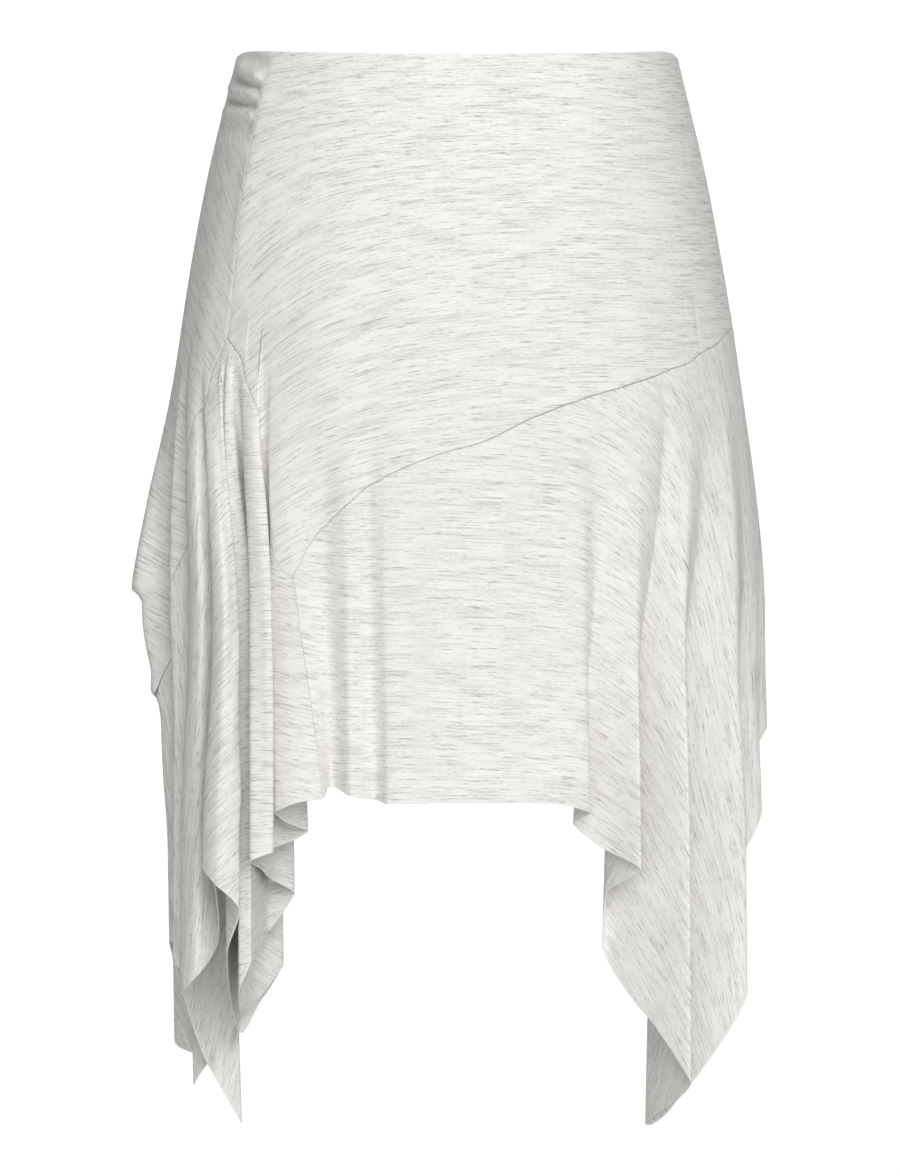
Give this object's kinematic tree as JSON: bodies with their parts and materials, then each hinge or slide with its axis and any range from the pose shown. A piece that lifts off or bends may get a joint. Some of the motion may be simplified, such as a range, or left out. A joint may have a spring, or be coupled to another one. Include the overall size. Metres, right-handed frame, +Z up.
{
  "type": "asymmetric midi skirt",
  "caption": "Worn, hollow jersey skirt: plain fitted yoke over a slanting circular-cut flounce with a long handkerchief point at each side.",
  "frame": {"origin": "centre of the waist opening, in the plane of its highest edge at the back", "axes": "+Z up, -Y to the front of the garment, +X to the right of the picture, which is the wearer's left"},
  "size_m": [0.4278, 0.2581, 0.7312],
  "materials": {
    "jersey": "soft matt heather jersey, pale grey-white with fine grey streaks"
  },
  "bodies": {
    "root": {"front_yoke": "jersey", "back_yoke": "jersey", "front_flounce": "jersey", "left_flounce": "jersey", "back_flounce": "jersey"}
  },
  "joints": []
}
